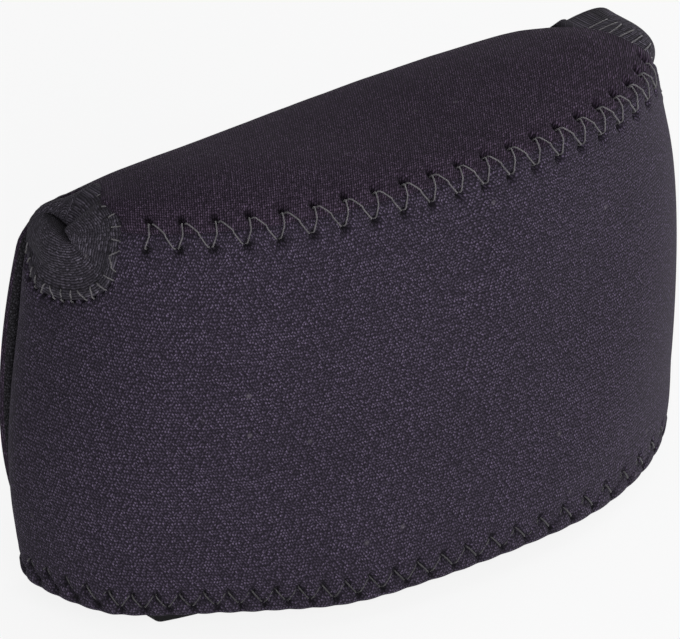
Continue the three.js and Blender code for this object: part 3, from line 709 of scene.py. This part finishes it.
def roofSheet():
    form = {
        "columns": 300, "rows": 150, "bias": 0.7, "endThin": 1.0, "rim": 1.0, "rimSheen": 0.6, "sag": 0.4,
        "hole": (0.6, 0.95), "tug": (0.9, 2.0), "valley": 0.8,
        "depth": {"valley": 0.5, "hole": 1.2, "tug": 0.35}, "paintedShade": {"hole": 1.3, "valley": 0.3},
    }
    w = np.linspace(0, 3, 1200)
    length = runLength(roofFace(0.5, w))
    rows = np.interp(cosSteps(form["rows"]) * 0.55 + np.linspace(0, 1, form["rows"] + 1) * 0.45, length / length[-1], w)
    width = 2 * c["flapTop"]
    column = 1 - endSteps(width, width / form["columns"])
    outerFace = roofFace(column[None], rows[:, None])
    normal = gridNormals(outerFace, [0, 5, 30])
    thick = c["sheet"] - smooth(rows, 2.2, 3.0)[:, None] * form["endThin"]
    mid = outerFace - normal * thick[..., None] / 2
    half, fade = softRim(outerFace, thick / 2, form["rim"])
    fromSeam = edgeDistance(outerFace, ("first",))
    s = np.interp(-seamAngle(roofShare(column[None], rows[:, None])), -seamTheta, seamRun)
    away = wrapped(s - seamMiddle, m["topPitch"], m["topPhase"] + m["topSkew"] * m["topPitch"])
    marks = needleMarks(away, fromSeam, m["topAbove"], form)
    x, y, z = np.moveaxis(outerFace, -1, 0)
    sag = form["sag"] * (np.sin(x / 17 + 1.1) * np.sin(z / 12 + y / 9) + 0.5 * np.sin(x / 9 + y / 14))
    relief = sag * smooth(fromSeam, 3, 15) * smooth(rows, 2.1, 1.8)[:, None]  # none under the base
    relief = relief - weighed(marks, form["depth"])
    # Painted shade: colour darkened in the needle holes and the sewn-down valley
    pitShade = np.clip(weighed(marks, form["paintedShade"]), 0, 1)
    run, drop = np.diff(x, axis=1), np.diff(z, axis=1)  # measured along the slope near both ends
    across = np.cumsum(run + (np.hypot(run, drop) - run) * smooth(np.abs(x[:, 1:]), 34, 46), 1)
    across = np.concatenate([0 * x[:, :1], across], 1)
    across = across + (x - across)[:, across.shape[1] // 2, None]
    uv = np.stack([across - form["bias"] * y, fromSeam], -1)
    # Paler cut edges: wear and a painted sheen highlight
    return makeSheet("roofAndFlap", mid, normal, half + relief * fade, half, uv, [roofShadedCloth, liningCloth],
                     {"pitShade": pitShade, "rim": (1 - fade) * form["rimSheen"]})


front = frontPanel()
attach(front, "case_body")
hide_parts("front_panel")
print("front panel made,", len(front.data.polygons), "faces")

roof = roofSheet()
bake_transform(roof)
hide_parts("top_panel", "back_flap")
print("roof and flap made,", len(roof.data.polygons), "faces")


lipForm = {  # pairs are (left, right)
    "slitLength": 3.9, "slitWidth": 0.22, "slitUp": 2.0, "slitBack": 0.5, "slitTilt": 12.0, "rise": 1.0, "fall": 5.4,
    "crest": (2.4, 3.6), "tip": (1.7, 1.5), "tipTurn": (215.0, 300.0), "proud": 0.9,
    "full": (25.0, -25.0), "plateau": (1.2, 3.7), "round": 2.2, "flange": 0.45, "sink": 0.3,
}


def collarSkin(turn, s, sign):
    # Place in the collar's plane and height: lines run from the ring (s = 0) straight to the slit (s = 1);
    # over the distance r from the slit the lip rises as a quarter ellipse, then falls as a soft dome to the flange
    form = lipForm
    side = 1 if sign > 0 else 0
    wall = np.interp((turn + np.pi) % (2 * np.pi) - np.pi, rings[sign]["turn"], rings[sign]["wall"])
    tilt = np.radians(form["slitTilt"])
    a, b = form["slitWidth"] * np.cos(turn), form["slitLength"] * np.sin(turn)
    slit = np.stack([form["slitUp"] + a * np.cos(tilt) + b * np.sin(tilt),
                     form["slitBack"] - a * np.sin(tilt) + b * np.cos(tilt)], -1)
    ring = ringPlace(turn, sign) * 1.02
    reach = np.linalg.norm(ring - slit, axis=-1)
    r = (1 - s) * reach
    # the upper lip stays full as far as the roof
    above = smooth(np.cos(turn - np.radians(form["full"][side])), 0.2, 0.8)
    fall = np.minimum(form["fall"], 0.72 * reach) * (1 - above) + (reach - form["rise"] - 0.6) * above
    rising = (1 - np.clip(1 - r / form["rise"], 0, 1) ** form["round"]) ** (1 / form["round"])
    falling = (1 - np.clip((r - form["rise"]) / fall, 0, 1) ** (2.3 + form["plateau"][side] * above)) ** 0.8
    crest = np.maximum(form["crest"][side] + form["tip"][side] * np.cos(turn - np.radians(form["tipTurn"][side])),
                       wall + form["proud"])
    level = wall * smooth(r, 0, 3.5) + form["flange"] * smooth(s, 0.0, 0.1) - form["sink"]
    place = ring * (1 - s)[..., None] + slit * s[..., None]
    return place, level + (crest - level) * rising * falling, r, rising * falling


def strapCollar(sign, side):
    # Flange sewn to the panels, a puffed lip, a slit, and the lining behind
    form = {"around": 140, "across": 60, "throat": 8, "under": 14, "thick": 2.4, "depth": 4.5,
            "hole": 0.5, "holeIn": 1.5}
    turn = np.linspace(-np.pi, np.pi, form["around"] + 1)[:, None]
    s = np.sin(np.linspace(0, 1, form["across"]) * np.pi / 2)[None]  # close steps at the slit
    turns, s = np.broadcast_arrays(turn, s)
    plane, height, r, lip = collarSkin(turns, s, sign)
    slit, outer = plane[:, -1], plane[:, 0]
    q = np.linspace(0, 1, form["throat"] + 1)[None, 1:]
    down = height[:, -1:] - form["depth"] * q
    throat = slit[:, None] + (slit - slit.mean(0))[:, None] * 0.1 * q[..., None]
    q = np.linspace(0, 1, form["under"] + 1)[None, 1:]
    back = throat[:, -1:] * (1 - q[..., None]) + outer[:, None] * 0.985 * q[..., None]
    low = down[:, -1:] * (1 - q) + (height[:, :1] - form["thick"]) * q
    inner = height[:, :1]
    sewn = turns - 2 * np.pi * (turns > np.radians(k["stitchTop"]))
    holes = bell(ringAway(sewn, sign), form["hole"]) * bell(r[:, :1] - r - form["holeIn"], form["hole"])
    hidden = np.zeros((len(r), form["throat"] + form["under"] + 1))
    # Painted shade: colour darkened at the slit's mouth, in the needle holes and over the whole throat and underside;
    # the lip's crest paler, wear and a painted sheen highlight
    pitShade = np.concatenate([np.clip(0.8 * bell(r, 0.35) + holes, 0, 1), hidden + 1], 1)
    rim = np.concatenate([0.3 * lip ** 4, hidden], 1)
    plane = np.concatenate([plane, throat, back, plane[:, :1]], 1)
    height = np.concatenate([height, down, low, inner], 1)
    mirror = np.array([sign, 1, 1])
    points = collarPoint(plane, height) * mirror
    heart = collarPoint((outer + slit)[:, None] / 2, inner - 0.8) * mirror
    uv = np.stack(np.broadcast_arrays(runLength(points), turn * 6.0), -1)
    return makePiece(side + "Collar", points, gridQuads(*points.shape[:2]), uv, [collarCloth],
                     masks={"pitShade": pitShade, "rim": rim}, outward=points - heart)


for sign, side in ((-1, "left"), (1, "right")):
    collar = strapCollar(sign, side)
    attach(collar, "case_body")
    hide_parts(side + "_strap_collar")
print("collars made")


def basePanel():
    # Disc: rays from the middle to the outline, closed at the back by a straight edge
    form = {"around": 420, "rings": 46, "middleY": 4.0, "inset": 3.1, "lift": 0.25, "rim": 1.3, "round": 2.2,
            "notch": 0.7, "sag": 0.15, "rimSheen": 0.3}
    theta = np.linspace(np.pi + backTheta, -backTheta, 1600)
    rimLine = outline(theta, 0 * theta, form["inset"])[:, :2]
    straight = np.linspace(rimLine[-1], rimLine[0], 300)[1:]
    line = np.concatenate([rimLine, straight])
    length = runLength(line)
    at = np.linspace(0, length[-1], form["around"] + 1)
    edge = np.stack([np.interp(at, length, line[:, 0]), np.interp(at, length, line[:, 1])], -1)
    share = np.sin(np.linspace(0.0004, 1, form["rings"]) * np.pi / 2)
    middle = np.array([0.0, form["middleY"]])
    flat = middle + (edge - middle)[None] * share[:, None, None]
    e = (1 - share)[:, None] * np.linalg.norm(edge - middle, axis=-1)[None]
    half = rimHalf(e, c["sheet"] / 2, form["rim"], form["round"])
    sewn = (at < length[len(rimLine) - 1])[None]
    count = np.interp(at / length[len(rimLine) - 1], footRun / footRun[-1], footCount)
    notch = sewn * bell(wrapped(count, 1.0, 0.5) * 4, 0.7)[None] * bell(e, 1.6)
    outwards = unit(edge - middle)[None]
    uv = flat + outwards * rimRun(e, c["sheet"] / 2, form["rim"], form["round"])[..., None]
    uv = np.concatenate([uv, uv[::-1][1:], uv[:1]], 0)
    flat = flat - outwards * (notch * form["notch"])[..., None]
    level = c["baseUnder"] + c["sheet"] / 2 + form["lift"] + 0 * e
    top = np.concatenate([flat, (level + half)[..., None]], -1)
    under = np.concatenate([flat, (level - half - form["sag"] * smooth(e, 2, 14))[..., None]], -1)[::-1]
    points = np.concatenate([top, under[1:], top[:1]], 0)
    cutSize(top)[2]
    up = np.concatenate([np.zeros_like(top) + [0, 0, 1], np.zeros_like(under) + [0, 0, -1.0]], 0)
    # Painted shade in the notches of the rim; the rim paler, wear and a painted sheen highlight
    pitShade = np.concatenate([notch, notch[::-1]], 0)
    rim = np.concatenate([bell(e, 1.0), bell(e, 1.0)[::-1]], 0) * form["rimSheen"]
    return makePiece("basePanel", points, gridQuads(*points.shape[:2]), uv, [frontCloth],
                     masks={"pitShade": pitShade, "rim": rim}, outward=up)


base = basePanel()
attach(base, "case_body")
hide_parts("base_panel")
print("base panel made")


def flatStrip(name, halfWidth, backY, frontY, under, thick, corner, material, bow=0.0, step=0.9):
    # Flat sheet with rounded front corners, soft edges and a free edge bowed forward; rows run to the front
    fine = (0, 0.08, 0.2, 0.4, 0.65, 1.0)
    y = backY + (frontY - backY) * endSteps(abs(backY - frontY), step, fine)
    x = endSteps(2 * halfWidth, step, fine) * 2 - 1
    cornerDrop = np.clip(corner - (y - min(frontY, backY)), 0, corner)
    reach = halfWidth - (corner - np.sqrt(np.maximum(corner ** 2 - cornerDrop ** 2, 0)))
    ahead = smooth(y, backY, frontY)[:, None] * bow * (1 - np.abs(x[None]) ** 5)
    mid = np.stack(np.broadcast_arrays(x[None] * reach[:, None], y[:, None] - ahead, under + thick / 2), -1)
    normal = np.zeros_like(mid) + [0, 0, 1.0]
    half, fade = softRim(mid, thick / 2, min(0.8, thick / 2))
    # Paler edges: wear and a painted sheen highlight
    return makeSheet(name, mid, normal, half, half, mid[..., :2], [material], {"pitShade": 0 * half, "rim": 1 - fade})


boxNodes = ("closure_tab", "hook_tape", "loop_tape")
tabBox, hookBox, loopBox = ([np.array(q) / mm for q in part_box(node)] for node in boxNodes)
tabForm = {"intoFlap": 1.0, "thick": 2.0, "corner": 0.8, "bow": 3.0}
tab = flatStrip("closureTab", tabBox[1][0], tabBox[1][1] + tabForm["intoFlap"], tabBox[0][1], 0.0, tabForm["thick"],
                tabForm["corner"], tabCloth, bow=tabForm["bow"])
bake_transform(tab)
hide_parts("closure_tab")
print("tab made")


def tapeField(box, pitch):  # staggered places over a tape, 1 mm in from its edges
    x, y = np.meshgrid(*(np.arange(box[0][i] + 1, box[1][i] - 0.9, pitch[i]) for i in (0, 1)))
    x = x + 0.5 * pitch[0] * (np.arange(len(x)) % 2)[:, None]
    keep = x < box[1][0] - 0.9
    return np.stack([x[keep], y[keep], 0 * x[keep]], -1)


def hookField():
    # Hooks of stiff thread in rows: a stem that bends over to one side, every other row to the other side
    form = {"pitch": (1.5, 1.25), "radius": 0.06, "height": 0.5, "root": 0.15}
    place = tapeField(hookBox, form["pitch"]) + [0, 0, hookBox[0][2] + form["root"]]
    bend = np.array([(0, 0, 0), (0, 0, 0.55), (0.1, 0, 0.88), (0.27, 0, 1.0), (0.42, 0, 0.86), (0.46, 0, 0.66)])
    bend = bend * [1, 1, form["height"]]
    side = np.where(np.round(place[:, 1] / form["pitch"][1]) % 2 == 0, 1.0, -1.0)[:, None, None]
    path = place[:, None] + bend[None] * (side * [1, 0, 0] + [0, 1, 1])
    return makeTube("hooks", path, form["radius"], 4, hookPlastic)


def loopField():
    # Loops of fine thread that hang from the tape, turned and sized by a fixed shuffle
    form = {"pitch": (1.15, 1.0), "radius": 0.035, "width": 0.42, "height": 0.5, "shuffle": 0.4, "root": 0.15}
    place = tapeField(loopBox, form["pitch"])
    luck = np.random.default_rng(4).random((len(place), 3))
    q = np.linspace(0, np.pi, 7)
    turn, size = luck[:, 0] * 2 * np.pi, 0.7 + 0.3 * luck[:, 1]
    flat = np.cos(q) * form["width"]
    arc = np.stack([np.cos(turn)[:, None] * flat, np.sin(turn)[:, None] * flat,
                    -np.sin(q) * size[:, None] * form["height"] + 0 * turn[:, None]], -1)
    shuffle = np.stack([luck[:, 2] - 0.5, luck[:, 1] - 0.5, 0 * turn], -1) * form["shuffle"]
    place = place + shuffle + [0, 0, loopBox[1][2] - form["root"]]
    return makeTube("loops", place[:, None] + arc, form["radius"], 4, loopYarn)


hookPlastic = threadMaterial("hookPlastic", {"dye": (0.011, 0.011, 0.013), "twist": 0.0})
loopYarn = threadMaterial("loopYarn", {"dye": (0.016, 0.0155, 0.018), "twist": 2.5})
tapeForm = {"thick": 0.36, "corner": 1.2, "hookUnder": 0.15, "loopUnder": 0.22}
tapes = (
    ("hookTape", "hook_tape", "tab", hookBox, hookBox[0][2] - tapeForm["hookUnder"], hookField),
    ("loopTape", "loop_tape", "case_body", loopBox, loopBox[1][2] - tapeForm["loopUnder"], loopField),
)
for name, node, body, box, under, make in tapes:
    tape = flatStrip(name, box[1][0], box[1][1], box[0][1], under, tapeForm["thick"], tapeForm["corner"], tapeCloth)
    pile = make()
    for piece in (tape, pile):
        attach(piece, body)
    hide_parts(node)
print("tapes made")


def faceAt(face, a, b, step=1e-3):  # point and normal, from small steps both ways
    p = face(a, b)
    return p, unit(np.cross(face(a - step, b) - p, face(a, b + step) - p))


def frontAt(s, d):  # d below the top seam
    theta = np.interp(s, seamRun, seamTheta)
    return faceAt(outline, theta, seamLevel(theta) - d / c["bodyHeight"])


def roofAt(s, d):  # d behind the top seam
    u = np.interp(np.interp(s, seamRun, seamTheta), seamTheta[::-1], np.linspace(0, 1, 2000))
    return faceAt(topFace, u, d / (3 * c["topRise"]))


def overSeam(s, d, lift):  # d below zero is on the front panel, above zero on the roof
    low, lowNormal = frontAt(s, np.maximum(-d, 0))
    high, highNormal = roofAt(s, np.maximum(d, 0))
    blend = smooth(d, -1.2, 1.2)[..., None]
    point = np.where((d < 0)[..., None], low, high)
    return point + unit(lowNormal * (1 - blend) + highNormal * blend) * lift[..., None]


def legLift(q, form):  # a thread dips into the needle holes at both ends of a leg
    return form["lift"] - form["dip"] * (bell(q, form["dipWidth"]) + bell(1 - q, form["dipWidth"]))


def zigzag(holes, depth, form):
    # Straight legs from hole to hole: run along the seam, distance across it, and lift that dips into each hole
    q = np.linspace(0, 1, form["legPoints"], endpoint=False)
    s, d = ((ends[:-1, None] + (ends[1:] - ends[:-1])[:, None] * q).ravel() for ends in (holes, depth))
    return s, d, np.tile(legLift(q, form), len(holes) - 1)


def topThread():
    # Zigzag: a long leg down to the right, a short leg back up; each leg dips into its needle holes
    form = {"radius": 0.12, "legPoints": 24, "lift": 0.1, "dip": 2.6, "dipWidth": 0.085, "short": 0.1,
            "start": 1.2, "stop": 2.8}
    p = m["topPitch"]
    first = np.ceil((form["start"] - seamMiddle - m["topPhase"]) / p)
    last = np.floor((seamRun[-1] - form["stop"] - seamMiddle - m["topPhase"]) / p)
    lower = seamMiddle + m["topPhase"] + np.arange(first, last + 1) * p
    upper = lower + m["topSkew"] * p
    holes = np.stack([lower, upper], -1).ravel()
    depth = np.tile([-m["topBelow"], m["topAbove"] - form["short"]], len(lower))
    return makeTube("topSeamThread", overSeam(*zigzag(holes, depth, form)), form["radius"], 7, greyThread)


thread = topThread()
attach(thread, "case_body")
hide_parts("top_seam_thread")


def baseThread():
    # Even zigzag between the front panel and the rim of the base
    form = {"radius": 0.13, "legPoints": 14, "lift": -0.16, "dip": 0.8, "dipWidth": 0.13, "short": 0.3}
    index = np.arange(np.ceil(2 * footCount[0] + 0.7), 2 * footCount[-1] - 0.7)
    holes = np.interp(index / 2, footCount, footRun)
    depth = np.where(index % 2 == 0, m["baseAbove"] - form["short"], m["baseFoot"])
    s, d, lift = zigzag(holes, depth, form)
    theta = np.interp(s, footRun, footTheta)
    point = outline(theta, d / c["bodyHeight"])
    ahead = outline(theta - 1e-3, d / c["bodyHeight"]) - point
    normal = unit(np.cross(ahead, [0, 0, 1.0]))
    point = point + normal * (lift + panelBulge(d / c["bodyHeight"], normal[:, 0]))[:, None]
    point[:, 2] -= footHang(point[:, 0]) * bell(d, footReach)
    return makeTube("baseSeamThread", point, form["radius"], 7, shadedThread)


thread = baseThread()
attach(thread, "case_body")
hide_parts("base_seam_thread")


def collarThread(sign, side):
    # Short strokes across the ring seam, lying on the flange and the panel, each dipping into its two needle holes
    form = {"radius": 0.13, "inner": 0.19, "outer": 0.07, "points": 14, "lift": 0.04, "dip": 1.0, "dipWidth": 0.13,
            "skew": 0.07}
    ring = rings[sign]
    turn = np.interp(np.arange(0, ring["run"][-1] - 1, k["stitch"]), ring["run"], ring["sewn"])
    skew = form["skew"] * np.sin(np.arange(len(turn)) * 2.4)
    q = np.linspace(0, 1, form["points"])
    angle = turn[:, None] + skew[:, None] * (q - 0.5) * 2
    s = form["inner"] + (-form["outer"] - form["inner"]) * q + 0 * angle
    place, height = collarSkin(angle, np.maximum(s, 0), sign)[:2]
    place = place - ringPlace(angle, sign) * np.minimum(s, 0)[..., None]
    height = np.where(s > 0, height, panelHeight(place, angle, sign) - 0.1)
    path = collarPoint(place, height + legLift(q, form)) * np.array([sign, 1, 1])
    return makeTube(side + "CollarThread", path, form["radius"], 6, greyThread)


for sign, side in ((-1, "left"), (1, "right")):
    thread = collarThread(sign, side)
    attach(thread, "case_body")
    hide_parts(side + "_collar_thread")
print("threads made")


def lookAxes(azimuth, elevation):  # right, up and towards the viewer
    a, e = np.radians(azimuth), np.radians(elevation)
    right = np.array([np.cos(a), np.sin(a), 0])
    upward = np.array([-np.sin(a) * np.sin(e), np.cos(a) * np.sin(e), np.cos(e)])
    return right, upward, np.array([np.sin(a) * np.cos(e), -np.cos(a) * np.cos(e), np.sin(e)])


def aimed(axes, spot):
    return Matrix([[axis[i] for axis in axes] + [spot[i]] for i in range(3)] + [[0, 0, 0, 1]])


def seenWhite(tree, plain, white, share, end):  # white to the camera, to glossy and to transmitted rays
    path = addNode(tree, "LightPath", {}).outputs
    seen = sums(tree, "MAXIMUM", path["Is Camera Ray"], path["Is Glossy Ray"])
    seen = sums(tree, "MAXIMUM", seen, path["Is Transmission Ray"])
    mix = addNode(tree, "MixShader", {0: times(tree, seen, share), 1: plain.outputs[0], 2: white.outputs[0]})
    feed(tree, tree.nodes[end], {"Surface": mix.outputs[0]})


def studio():
    form = {"azimuth": -38.4, "elevation": 26.4, "distance": 1820.0, "scale": 6.52, "aim": (0, 0, 38.0),
            "aimPixel": (388.3, 309.8), "frame": (680, 639), "floorWhite": 0.86, "floorReach": 3.0, "lampAim": 0.04}
    scene = bpy.context.scene
    scene.view_settings.view_transform = "Standard"
    right, upward, away = axes = lookAxes(form["azimuth"], form["elevation"])
    aside = (form["aimPixel"][0] - form["frame"][0] / 2) / form["scale"]
    above = (form["frame"][1] / 2 - form["aimPixel"][1]) / form["scale"]
    spot = np.array(form["aim"]) - aside * right - above * upward + form["distance"] * away
    lens = bpy.data.cameras.new("studioCamera")
    lens.sensor_fit = "HORIZONTAL"
    lens.sensor_width = 36
    lens.lens = form["scale"] * form["distance"] / form["frame"][0] * 36
    lens.clip_end = 20
    scene.camera = addObject("studioCamera", lens)
    scene.camera.matrix_world = aimed(axes, spot * mm)

    paper, tree, shader = newMaterial("paleFloor")
    grain = addNode(tree, "TexNoise", {"Scale": 30.0, "Vector": addNode(tree, "TexCoord", {}).outputs["Object"]})
    rough = ramp(tree, grain.outputs[0], 0.3, 0.7, 0.85, 0.95)
    feed(tree, shader, {"Roughness": rough, "Base Color": (0.9, 0.9, 0.9, 1)})
    glow = addNode(tree, "Emission", {"Strength": 1.0})
    seenWhite(tree, shader, glow, form["floorWhite"], "Material Output")
    reach = form["floorReach"]
    mesh = bpy.data.meshes.new("floor")
    corners = [(-reach, -reach, 0), (reach, -reach, 0), (reach, reach, 0), (-reach, reach, 0)]
    mesh.from_pydata(corners, [], [(0, 1, 2, 3)])
    mesh.materials.append(paper)
    floor = addObject("floor", mesh)
    floor.location.z = -0.0002

    world = bpy.data.worlds.new("paleRoom")
    scene.world = world
    world.use_nodes = True
    tree = world.node_tree
    room = feed(tree, tree.nodes["Background"], {"Color": (0.95, 0.96, 1.0, 1), "Strength": 0.25})
    white = addNode(tree, "Background", {"Color": (1, 1, 1, 1), "Strength": 1.0})
    seenWhite(tree, room, white, 1.0, "World Output")

    lamps = [  # name, azimuth, elevation, distance m, size m, watts
        ("frontSoftbox", -22, 16, 1.1, 0.9, 13.0),
        ("rightSoftbox", 94, 20, 1.1, 0.8, 6.5),
        ("topSoftbox", -60, 78, 1.2, 0.9, 0.9),
    ]
    for name, azimuth, elevation, distance, size, watts in lamps:
        axes = lookAxes(azimuth, elevation)
        light = bpy.data.lights.new(name, "AREA")
        light.shape = "SQUARE"
        light.size = size
        light.energy = watts
        spot = axes[2] * distance + [0, 0, form["lampAim"]]
        addObject(name, light).matrix_world = aimed(axes, spot)


studio()
print("studio made")
